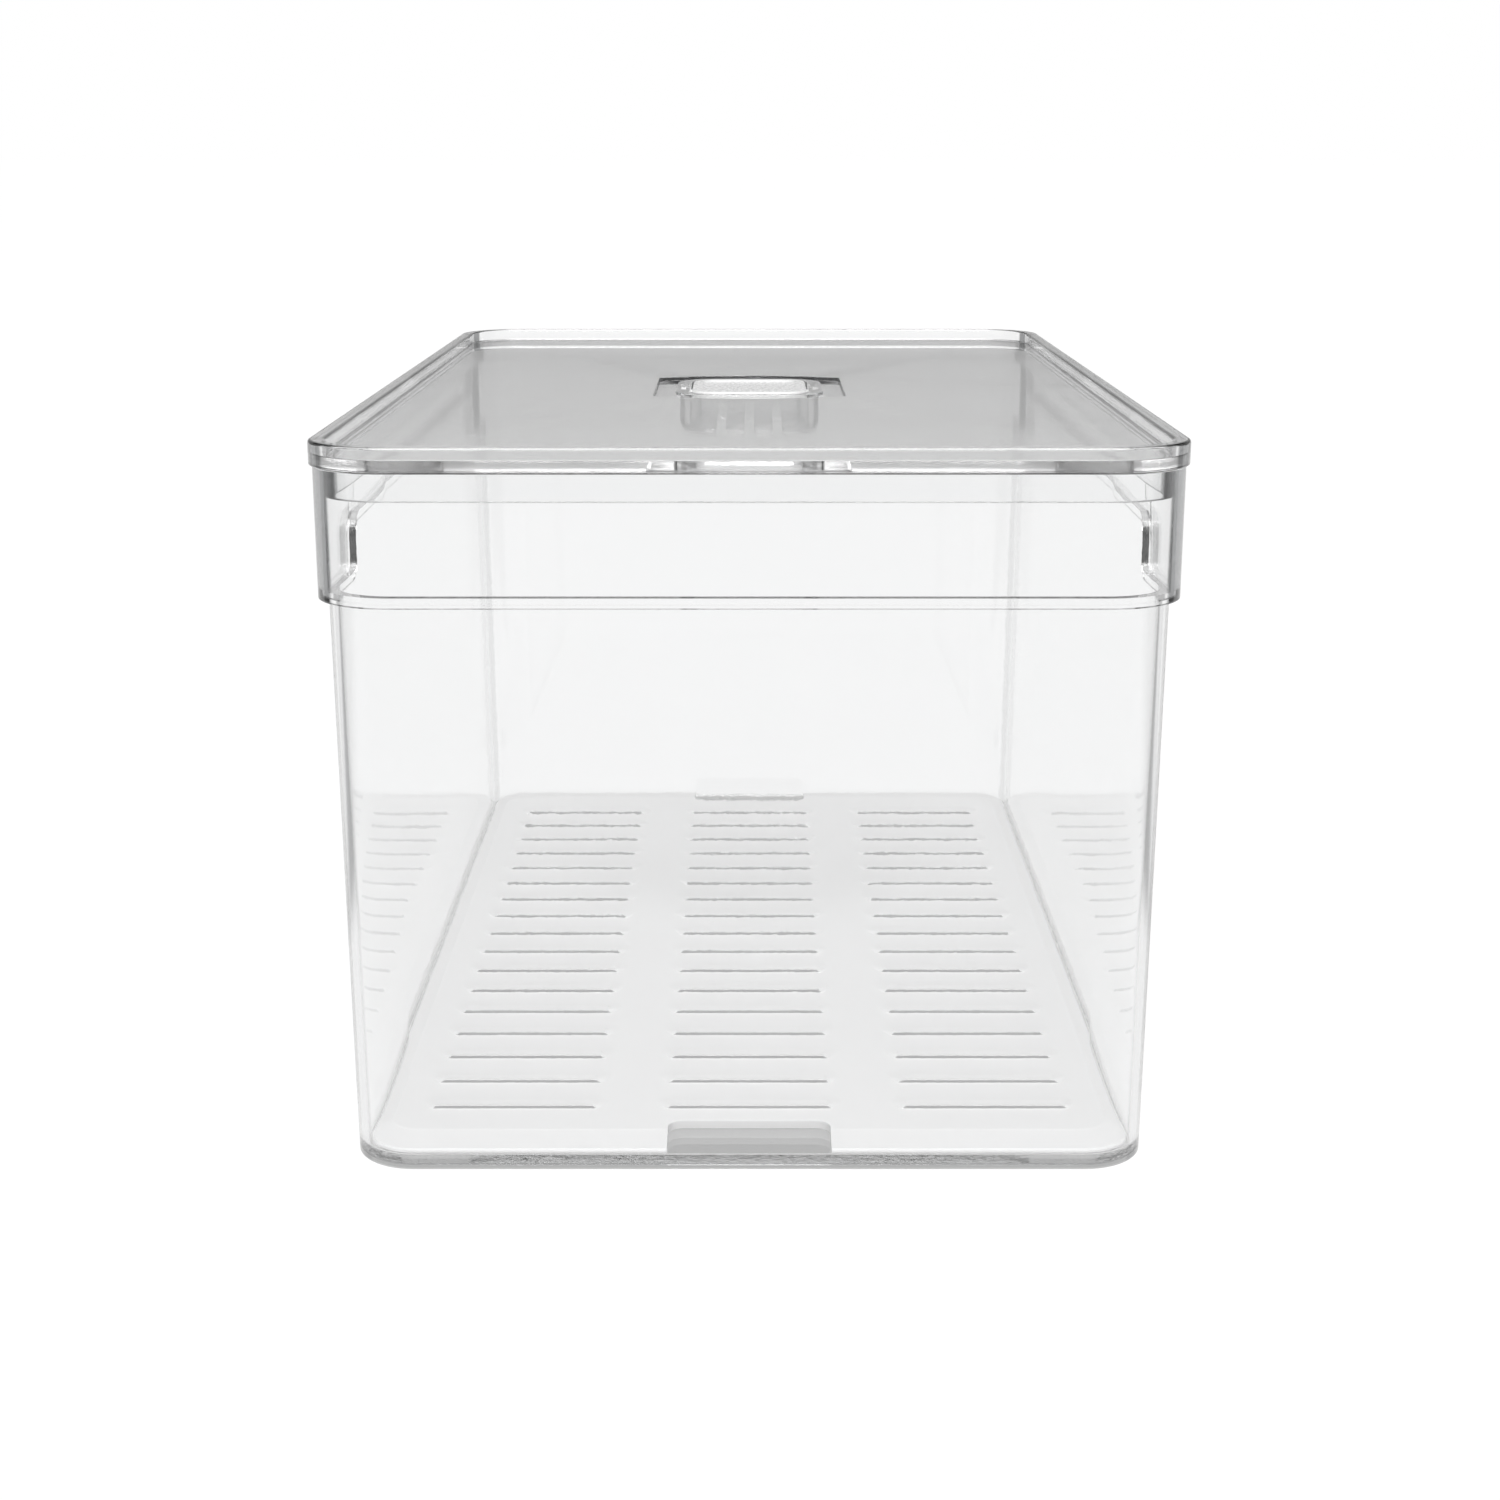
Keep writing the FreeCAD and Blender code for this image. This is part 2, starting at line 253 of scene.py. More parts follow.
class Skin:
    """Collects rings of points in millimetres and turns them into one closed mesh object."""

    def __init__(self) -> None:
        """Starts with an empty mesh."""
        self.mesh = bmesh.new()

    def ring(self, points: Sequence[Vector]) -> list[bmesh.types.BMVert]:
        """Adds the points of one ring."""
        return [self.mesh.verts.new(point) for point in points]

    def strip(self, first: list[bmesh.types.BMVert], second: list[bmesh.types.BMVert],
              closed: bool = True) -> None:
        """Skins the band between two rings that have the same number of points.

        Args:
            first: One ring.
            second: The next ring.
            closed: False for open rows of points.
        """
        count = len(first)
        for index in range(count if closed else count - 1):
            after = (index + 1) % count
            self.mesh.faces.new((first[index], first[after], second[after], second[index]))

    def chain(self, rings: Sequence[Sequence[Vector]], loop: bool = False) -> None:
        """Skins a run of rings, closed on itself or capped at both ends.

        Args:
            rings: Rings in order along the profile.
            loop: True when the last ring joins the first one.
        """
        rows = [self.ring(points) for points in rings]
        for first, second in zip(rows, rows[1:]):
            self.strip(first, second)
        if loop:
            self.strip(rows[-1], rows[0])
        else:
            self.mesh.faces.new(rows[0])
            self.mesh.faces.new(rows[-1])

    def block(self, corner: Sequence[float], opposite: Sequence[float]) -> None:
        """Adds a box.

        Args:
            corner: One corner.
            opposite: The corner across from it.
        """
        size = [abs(there - here) for here, there in zip(corner, opposite)]
        middle = (Vector(corner) + Vector(opposite)) / 2
        place = Matrix.Translation(middle) @ Matrix.Diagonal((*size, 1.0))
        bmesh.ops.create_cube(self.mesh, size=1.0, matrix=place)

    def pin(self, radius: float, start: Vector, end: Vector, steps: int = 24) -> None:
        """Adds a round pin along X.

        Args:
            radius: Its radius.
            start: Middle of one end.
            end: Middle of the other end.
            steps: Facets round it.
        """
        place = Matrix.Translation((start + end) / 2) @ Matrix.Rotation(math.pi / 2, 4, "Y")
        length = (end - start).length
        bmesh.ops.create_cone(self.mesh, cap_ends=True, segments=steps, radius1=radius, radius2=radius,
                              depth=length, matrix=place)

    def finish(self, name: str) -> Piece:
        """Welds the mesh, turns its faces outwards and makes the object, in metres.

        Args:
            name: Name of the new object.

        Returns:
            The object, linked to the scene.
        """
        bmesh.ops.remove_doubles(self.mesh, verts=self.mesh.verts, dist=WELD)
        bmesh.ops.recalc_face_normals(self.mesh, faces=self.mesh.faces)
        bmesh.ops.scale(self.mesh, vec=(MM, MM, MM), verts=self.mesh.verts)
        for face in self.mesh.faces:
            face.smooth = True
        data = bpy.data.meshes.new(name)
        self.mesh.to_mesh(data)
        self.mesh.free()
        made = bpy.data.objects.new(name, data)
        bpy.context.scene.collection.objects.link(made)
        return made


def flat_faces(piece: Piece, keep_sharp: bool) -> None:
    """Shades the flat faces of a moulding flat.

    Args:
        piece: The moulding.
        keep_sharp: True to keep its marked edges crisp.
    """
    normals = piece.modifiers.new("flat_faces", "WEIGHTED_NORMAL")
    normals.weight = FLAT_WEIGHT
    normals.keep_sharp = keep_sharp


def soften(piece: Piece, width: float, segments: int = 2) -> None:
    """Rounds the sharp edges of a moulding and keeps its flat faces flat.

    Args:
        piece: The moulding.
        width: Size of the rounding in millimetres.
        segments: Facets across the rounding.
    """
    edge = piece.modifiers.new("edge_rounding", "BEVEL")
    edge.width = width * MM
    edge.segments = segments
    edge.limit_method = "ANGLE"
    edge.angle_limit = SHARP
    edge.use_clamp_overlap = True
    flat_faces(piece, keep_sharp=False)


def carve(piece: Piece, cutter: Piece) -> None:
    """Cuts one mesh out of another and removes the cutter.

    Args:
        piece: The mesh that stays.
        cutter: The mesh that is taken away.
    """
    cut = piece.modifiers.new("cut", "BOOLEAN")
    cut.operation = "DIFFERENCE"
    cut.solver = "EXACT"
    cut.object = cutter
    graph = bpy.context.evaluated_depsgraph_get()
    result = bpy.data.meshes.new_from_object(piece.evaluated_get(graph))
    piece.modifiers.clear()
    piece.data = result
    for face in piece.data.polygons:
        face.use_smooth = True
    bpy.data.objects.remove(cutter)


# ---------------------------------------------------------------------------- shader nodes


def node(tree: Tree, kind: str, values: dict | None = None, **settings: object) -> bpy.types.Node:
    """Adds a shader node.

    Args:
        tree: Node tree that takes the node.
        kind: Blender's name for the node type, without ShaderNode before it.
        values: Input values or sockets to link, by input name or index.
        settings: Properties of the node itself.

    Returns:
        The new node.
    """
    made = tree.nodes.new("ShaderNode" + kind)
    for name, value in settings.items():
        setattr(made, name, value)
    for name, value in (values or {}).items():
        if isinstance(value, Socket):
            tree.links.new(value, made.inputs[name])
        else:
            made.inputs[name].default_value = value
    return made


def calc(tree: Tree, operation: str, *values: float | Socket, clamp: bool = False) -> Socket:
    """Adds a Math node.

    Args:
        tree: Node tree that takes the node.
        operation: Blender's name for the operation.
        values: Its numbers or sockets.
        clamp: True to keep the result between 0 and 1.

    Returns:
        Its result.
    """
    return node(tree, "Math", dict(enumerate(values)), operation=operation, use_clamp=clamp).outputs[0]


def remap(tree: Tree, value: Socket, old: Pair, new: Pair = (0.0, 1.0), smooth: bool = False) -> Socket:
    """Adds a Map Range node.

    Args:
        tree: Node tree that takes the node.
        value: What it maps.
        old: Range of the value.
        new: Range of the result.
        smooth: True to ease in and out at both ends.

    Returns:
        Its result, which stays within the new range.
    """
    shape = "SMOOTHSTEP" if smooth else "LINEAR"
    return node(tree, "MapRange", {0: value, 1: old[0], 2: old[1], 3: new[0], 4: new[1]},
                interpolation_type=shape).outputs[0]


def blend(tree: Tree, share: Socket, first: Colour | Socket, second: Colour | Socket) -> Socket:
    """Mixes two colours.

    Args:
        tree: Node tree that takes the node.
        share: Share of the second colour.
        first: Colour at a share of 0.
        second: Colour at a share of 1.

    Returns:
        The mixed colour.
    """
    ends = [end if isinstance(end, Socket) else (*end, 1.0) for end in (first, second)]
    return node(tree, "Mix", {0: share, 6: ends[0], 7: ends[1]}, data_type="RGBA").outputs[2]


def group_tree(name: str, inputs: dict[str, float], outputs: Sequence[str]) -> Tree:
    """Makes an empty shader group whose sockets are all plain numbers.

    Args:
        name: Name of the group.
        inputs: Input names with their default values.
        outputs: Output names.

    Returns:
        The group's node tree.
    """
    tree = bpy.data.node_groups.new(name, "ShaderNodeTree")
    for label, value in inputs.items():
        tree.interface.new_socket(label, in_out="INPUT", socket_type="NodeSocketFloat").default_value = value
    for label in outputs:
        tree.interface.new_socket(label, in_out="OUTPUT", socket_type="NodeSocketFloat")
    return tree


def put_out(tree: Tree, results: dict[str, Socket]) -> Tree:
    """Links a group's results to its outputs.

    Args:
        tree: The group's node tree.
        results: Sockets by output name.

    Returns:
        The same node tree.
    """
    put = tree.nodes.new("NodeGroupOutput").inputs
    for label, socket in results.items():
        tree.links.new(socket, put[label])
    return tree


def empty_material(name: str) -> bpy.types.Material:
    """Makes a material with no nodes in its tree.

    Args:
        name: Name of the material.

    Returns:
        The material.
    """
    made = bpy.data.materials.new(name)
    made.use_nodes = True
    made.node_tree.nodes.clear()
    return made


class Effects:
    """Shader groups that several finishes share."""

    def __init__(self) -> None:
        """Builds each group once."""
        self.skin = self._moulded_skin()
        self.marks = self._handling_marks()
        self.corners = self._corner_bend()

    @staticmethod
    def _moulded_skin() -> Tree:
        """Surface of a moulding: fine grain from the mould and slow waves where the plastic flowed.

        Returns:
            Group with the outputs Grain, Flow and Height, each from 0 to 1.
        """
        tree = group_tree("moulded_skin", {"Grain Scale": 900.0, "Flow Scale": 14.0, "Grain Share": 0.5},
                          ("Grain", "Flow", "Height"))
        given = tree.nodes.new("NodeGroupInput").outputs
        place = node(tree, "TexCoord").outputs["Object"]
        grain = node(tree, "TexNoise", {"Vector": place, "Scale": given["Grain Scale"],
                                        "Detail": 3.0, "Roughness": 0.6}).outputs[0]
        flow = node(tree, "TexNoise", {"Vector": place, "Scale": given["Flow Scale"],
                                       "Detail": 2.0, "Distortion": 0.6}).outputs[0]
        height = node(tree, "Mix", {0: given["Grain Share"], 2: flow, 3: grain}).outputs[0]
        return put_out(tree, {"Grain": grain, "Flow": flow, "Height": height})

    @staticmethod
    def _corner_bend() -> Tree:
        """Upright corners, where a look through the wall meets far more plastic than on the flat sides; the
        mask for the painted shade round them.

        Returns:
            Group with the outputs Bend, 0 on flat walls and 1 round a corner, and Level, 1 on level faces.
        """
        tree = group_tree("corner_bend", {"Gain": 9.0}, ("Bend", "Level"))
        gain = tree.nodes.new("NodeGroupInput").outputs["Gain"]
        sloping, level = 0.5, 0.9
        normal = node(tree, "NewGeometry").outputs["Normal"]
        parts = node(tree, "SeparateXYZ", {0: normal}).outputs
        both = calc(tree, "ABSOLUTE", calc(tree, "MULTIPLY", parts["X"], parts["Y"]))
        bend = calc(tree, "MULTIPLY", both, gain, clamp=True)
        return put_out(tree, {"Bend": bend,
                              "Level": remap(tree, calc(tree, "ABSOLUTE", parts["Z"]), (sloping, level))})

    @staticmethod
    def _handling_marks() -> Tree:
        """Faint hairlines and wiped patches from handling.

        Returns:
            Group with the output Marks, from 0 where the surface is clean to 1 in a mark.
        """
        tree = group_tree("handling_marks", {"Hair Scale": 60.0, "Amount": 0.5}, ("Marks",))
        given = tree.nodes.new("NodeGroupInput").outputs
        hair_edge, patch_edge = (0.64, 0.74), (0.45, 0.7)
        place = node(tree, "TexCoord").outputs["Object"]
        lean = node(tree, "Mapping", {"Vector": place, "Rotation": (0.4, 0.3, 0.7),
                                      "Scale": (1, 14, 1)}).outputs[0]
        hairs = node(tree, "TexNoise",
                     {"Vector": lean, "Scale": given["Hair Scale"], "Detail": 4.0}).outputs[0]
        patches = node(tree, "TexNoise", {"Vector": place, "Scale": 9.0, "Detail": 2.0}).outputs[0]
        both = calc(tree, "MULTIPLY", remap(tree, hairs, hair_edge), remap(tree, patches, patch_edge))
        return put_out(tree, {"Marks": calc(tree, "MULTIPLY", both, given["Amount"])})


@dataclass(frozen=True)
class ClearPlastic:
    """Polished clear moulding.  Rays from lamps pass through it, so that what it holds is lit.

    The darker corner tint, round upright corners seen at a glance and on a slab's edge, is partly the deep
    plastic that a look there passes through and mostly painted shade.
    """

    name: str
    tint: Colour
    deep_tint: Colour
    ior: float = 1.57
    smooth: float = 0.0
    rough: float = 0.02
    wave: float = 0.02
    grain_scale: float = 500.0
    grain_share: float = 0.15
    shade: float = 0.97
    corner_shade_tint: Colour = (0.115, 0.118, 0.12)
    glance: Pair = (0.44, 0.52)
    band_from: float = 0.0
    band_soft: float = 1.0
    thin_share: float = 0.3
    slab_top: float = 0.0
    slab_soft: float = 0.5
    slab_share: float = 0.42

    def corner_shade_share(self, tree: Tree, bend: Socket, level: Socket) -> Socket:
        """Share of the corner tint, mostly painted shade: upright corners at a glancing look, and the edge of
        the floor slab.

        Args:
            tree: The material's node tree.
            bend: 1 round an upright corner.
            level: 1 on level faces.

        Returns:
            The share, from 0 to 1.
        """
        facing = node(tree, "LayerWeight", {"Blend": 0.5}).outputs["Facing"]
        depth = calc(tree, "MULTIPLY", bend, remap(tree, facing, self.glance, smooth=True))
        place = node(tree, "TexCoord").outputs["Object"]
        height = node(tree, "SeparateXYZ", {0: place}).outputs["Z"]
        band = remap(tree, height, ((self.band_from - self.band_soft) * MM, self.band_from * MM),
                     (self.thin_share, 1.0))
        slab = remap(tree, height, ((self.slab_top - self.slab_soft) * MM, self.slab_top * MM),
                     (self.slab_share, 0.0))
        end_on = calc(tree, "MULTIPLY", slab, calc(tree, "SUBTRACT", 1.0, level))
        return calc(tree, "MULTIPLY_ADD", depth, band, end_on, clamp=True)

    def material(self, effects: Effects) -> bpy.types.Material:
        """Builds the material.

        Args:
            effects: Shared shader groups.

        Returns:
            The material.
        """
        made = empty_material(self.name)
        tree = made.node_tree
        skin = node(tree, "Group", {"Grain Scale": self.grain_scale, "Grain Share": self.grain_share},
                    node_tree=effects.skin).outputs
        marks = node(tree, "Group", node_tree=effects.marks).outputs["Marks"]
        faces = node(tree, "Group", node_tree=effects.corners).outputs
        plain = blend(tree, skin["Flow"], self.tint, self.deep_tint)
        walls = blend(tree, faces["Level"], plain, WHITE)
        depth = self.corner_shade_share(tree, faces["Bend"], faces["Level"])
        bump = node(tree, "Bump", {"Height": skin["Height"], "Strength": self.wave, "Distance": MM})
        shader = node(tree, "BsdfPrincipled", {
            # painted shade, partly deep plastic: the colour darkens towards the corner tint by that share
            "Base Color": blend(tree, depth, walls, self.corner_shade_tint),
            "Roughness": remap(tree, marks, (0.0, 1.0), (self.smooth, self.rough)),
            "IOR": self.ior,
            "Transmission Weight": 1.0,
            "Normal": bump.outputs[0],
        })
        through = node(tree, "BsdfTransparent", {"Color": (self.shade, self.shade, self.shade, 1)})
        path = node(tree, "LightPath").outputs
        indirect = calc(tree, "MAXIMUM", path["Is Shadow Ray"], path["Is Diffuse Ray"])
        mix = node(tree, "MixShader", {0: indirect, 1: shader.outputs[0], 2: through.outputs[0]})
        node(tree, "OutputMaterial", {0: mix.outputs[0]})
        return made


@dataclass(frozen=True)
class SolidPlastic:
    """Opaque moulding whose gloss follows the grain of its skin."""

    name: str
    colour: Colour
    pale: Colour
    rough: Pair
    grain_scale: float
    flow_scale: float
    grain_share: float
    relief: float
    marked: bool
    relief_depth: float = 0.05
    ior: float = 1.49

    def material(self, effects: Effects) -> bpy.types.Material:
        """Builds the material.

        Args:
            effects: Shared shader groups.

        Returns:
            The material.
        """
        made = empty_material(self.name)
        tree = made.node_tree
        skin = node(tree, "Group", {"Grain Scale": self.grain_scale, "Flow Scale": self.flow_scale,
                                    "Grain Share": self.grain_share}, node_tree=effects.skin).outputs
        worn = skin["Grain"]
        if self.marked:
            worn = calc(tree, "SUBTRACT", worn, node(tree, "Group", node_tree=effects.marks).outputs["Marks"])
        bump = node(tree, "Bump", {"Height": skin["Height"], "Strength": self.relief,
                                   "Distance": self.relief_depth * MM})
        shader = node(tree, "BsdfPrincipled", {
            "Base Color": blend(tree, skin["Flow"], self.colour, self.pale),
            "Roughness": remap(tree, worn, (0.0, 1.0), self.rough),
            "IOR": self.ior,
            "Normal": bump.outputs[0],
        })
        node(tree, "OutputMaterial", {0: shader.outputs[0]})
        return made


@dataclass(frozen=True)
class FrostedPlastic(SolidPlastic):
    """Milky moulding with a soft gloss."""

    rough: Pair = (0.2, 0.34)
    grain_scale: float = 900.0
    flow_scale: float = 60.0
    grain_share: float = 0.5
    relief: float = 0.05
    marked: bool = False


@dataclass(frozen=True)
class SatinPlastic(SolidPlastic):
    """White moulding with a fine spark-eroded grain and faint marks."""

    rough: Pair = (0.42, 0.6)
    grain_scale: float = 2200.0
    flow_scale: float = 22.0
    grain_share: float = 0.8
    relief: float = 0.35
    marked: bool = True


def dress(piece: Piece, finish: bpy.types.Material, body: Body, slot: Slot, *nodes: str) -> None:
    """Gives a moulding its finish and ties it to the CAD frame.

    Args:
        piece: The moulding.
        finish: Its material.
        body: CAD body that it moves with.
        slot: Material slot of the record; not used.
        nodes: CAD nodes that it stands for.
    """
    piece.data.materials.clear()
    piece.data.materials.append(finish)
    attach(piece, body.value)
    if nodes:
        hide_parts(*nodes)
    log.info("%s: %d faces, rides on %s", piece.name, len(piece.data.polygons), body.value)


# ---------------------------------------------------------------------------- the mouldings


@dataclass
class Tub:
    """Open clear tub: drafted lower body, stepped-out band, and a long finger grip in each side."""

    finish: ClearPlastic
    box: NodeBox = field(default_factory=lambda: NodeBox.of("bin_body"))
    corner: float = 20.7
    wall: float = 2.5
    step_out: float = 2.7
    draft: float = 1.3
    band_height: float = 33.2
    floor: float = 3.0
    foot_height: float = 0.4
    foot_width: float = 5.0
    foot_round: float = 0.15
    foot_edge: float = 0.4
    foot_side: float = 1.6
    basin_round: float = 0.6
    basin_rise: float = 8.0
    support: float = 9.0
    grip_inset: float = 45.1
    grip_rise: float = 14.5
    grip_top: float = 4.0
    grip_flare: float = 5.5
    grip_steps: int = 6
    edge: float = 0.45

    def grip_path(self, offset: float) -> list[Pair]:
        """Lower edge of the band along one side, from front to back.

        Args:
            offset: How far this surface lies inside the outer one.

        Returns:
            The points as (y, z).
        """
        step = self.box.high.z - self.band_height + offset
        half = self.box.half_y - self.grip_inset + offset
        flare = self.grip_flare - offset
        top_radius = self.grip_top + offset
        top = step + self.grip_rise
        end = arc((half + flare, step + flare), flare, -90.0, -180.0, self.grip_steps)
        end += arc((half - top_radius, top - top_radius), top_radius, 0.0, 90.0, self.grip_steps)
        return [(-y, z) for y, z in end] + end[::-1]

    def rings(self) -> list[list[Vector]]:
        """Rings from the middle of the underside, up the outside, over the edge and down to the floor.

        Returns:
            The rings, in order along the section.
        """
        band = Outline(self.box.half_x, self.box.half_y, self.corner)
        body = band.inset(self.step_out)
        foot = body.inset(self.draft)
        edge = self.box.high.z
        step = edge - self.band_height
        floor = self.foot_height + self.floor
        outer = self.grip_path(0.0)
        inner = self.grip_path(self.wall)
        sole = rounded([
            (self.foot_width + self.support, self.foot_height, 0.0),
            (self.foot_width, self.foot_height, self.foot_round),
            (self.foot_width, 0.0, self.foot_round),
            (0.0, 0.0, self.foot_edge),
            (0.0, self.foot_side, 0.0),
        ])
        rings = [foot.inset(inset).ring(z, spread(outer, z)) for inset, z in sole]
        rings += [
            body.ring(step, spread(outer, step)),
            body.ring(step, outer),
            band.ring(step, outer),
            band.ring(edge, spread(outer, edge)),
            band.inset(self.wall).ring(edge, spread(inner, edge)),
            band.inset(self.wall).ring(step + self.wall, inner),
            body.inset(self.wall).ring(step + self.wall, inner),
            body.inset(self.wall).ring(step, spread(inner, step)),
        ]
        basin = rounded([
            (self.wall, floor + self.basin_rise, 0.0),
            (self.wall, floor, self.basin_round),
            (self.wall + self.support, floor, 0.0),
        ])
        return rings + [foot.inset(inset).ring(z, spread(inner, z)) for inset, z in basin]

    def build(self, effects: Effects) -> None:
        """Skins the tub and dresses it.

        Args:
            effects: Shared shader groups.
        """
        skin = Skin()
        skin.chain(self.rings())
        tub = skin.finish("bin_tub")
        soften(tub, self.edge, 3)
        finish = replace(self.finish, band_from=self.box.high.z - self.band_height,
                         slab_top=self.foot_height + self.floor)
        dress(tub, finish.material(effects), Body.BIN, Slot.CLEAR, "bin_body")


@dataclass
class Lid:
    """Clear lid: plate, raised rim, plug skirt, and a shallow recess round the vent's opening."""

    finish: ClearPlastic
    # near-black clear finish that paints shade on the recess's step and the lid's lowest outer edge
    painted_shade_finish: ClearPlastic
    box: NodeBox = field(default_factory=lambda: NodeBox.of("lid"))
    vent: NodeBox = field(default_factory=lambda: NodeBox.of("vent_housing"))
    corner: float = 21.6
    rim_width: float = 4.4
    rim_rise: float = 3.6
    plate: float = 2.7
    plug_inset: float = 3.8
    plug_width: float = 2.2
    plug_round: float = 0.3
    plug_root: float = 0.5
    skirt_round: float = 0.45
    rim_outer_round: float = 0.9
    rim_inner_round: float = 0.8
    rim_root: float = 0.35
    support: float = 12.0
    recess_half_x: float = 29.2
    recess_corner_y: float = 27.5
    recess_corner: float = 1.2
    recess_bow: float = 7.5
    recess_depth: float = 1.2
    recess_margin: float = 0.5
    front_facing: float = 0.35
    flange: float = 1.3
    opening_fit: float = 0.2
    cup_corner: float = 10.7
    dark_edge: float = 0.32
    end_steps: int = 10
    edge: float = 0.25

    def rings(self) -> list[list[Vector]]:
        """Rings from the opening's lower edge, round the plug and the rim, back to the opening's top edge.

        Returns:
            The rings, in order round the section.
        """
        plan = Outline(self.box.half_x, self.box.half_y, self.corner, end_steps=self.end_steps)
        cup_x = self.vent.half_x - self.flange + self.opening_fit
        cup_y = self.vent.half_y - self.flange + self.opening_fit
        opening = Outline(cup_x, cup_y, self.cup_corner + self.opening_fit, self.vent.center_y,
                          end_steps=self.end_steps)
        recess = Outline(self.recess_half_x, self.recess_corner_y, self.recess_corner, self.vent.center_y,
                         end_steps=self.end_steps, bow=self.recess_bow)
        rim_top = self.box.high.z
        plate_top = rim_top - self.rim_rise
        plate_low = plate_top - self.plate
        plug_low = self.box.low.z
        inner = self.plug_inset + self.plug_width
        section = rounded([
            (inner + self.support, plate_low, 0.0),
            (inner, plate_low, self.plug_root),
            (inner, plug_low, self.plug_round),
            (self.plug_inset, plug_low, self.plug_round),
            (self.plug_inset, plate_low, self.plug_round),
            (0.0, plate_low, self.skirt_round),
            (0.0, rim_top, self.rim_outer_round),
            (self.rim_width, rim_top, self.rim_inner_round),
            (self.rim_width, plate_top, self.rim_root),
            (self.rim_width + self.support, plate_top, 0.0),
        ])
        rings = [opening.ring(plate_low)]
        rings += [plan.inset(inset).ring(z) for inset, z in section]
        rings.append(recess.ring(plate_top))
        rings.append(recess.ring(plate_top - self.recess_depth))
        rings.append(opening.ring(plate_top - self.recess_depth))
        return rings

    def build(self, effects: Effects) -> None:
        """Skins the lid and dresses it.

        Args:
            effects: Shared shader groups.
        """
        skin = Skin()
        skin.chain(self.rings(), loop=True)
        lid = skin.finish("lid_plate_and_rim")
        soften(lid, self.edge)
        dress(lid, self.finish.material(effects), Body.LID, Slot.CLEAR, "lid")
        lid.data.materials.append(self.painted_shade_finish.material(effects))
        self.paint_step_shade(lid)

    def paint_step_shade(self, lid: Piece) -> None:
        """Paints shade with the near-black finish on the recess's step, except in front, and on the lid's
        lowest outer edge.

        Args:
            lid: The lid.
        """
        top = self.box.high.z - self.rim_rise
        low = top - self.plate
        reach_x = self.recess_half_x + self.recess_margin
        reach_y = self.recess_corner_y + self.recess_bow
        for face in lid.data.polygons:
            spot = face.center / MM
            inside = abs(spot.x) < reach_x and abs(spot.y) < reach_y
            step = inside and top - self.recess_depth < spot.z < top and face.normal.y < self.front_facing
            if step or low < spot.z < low + self.dark_edge:
                face.material_index = 1


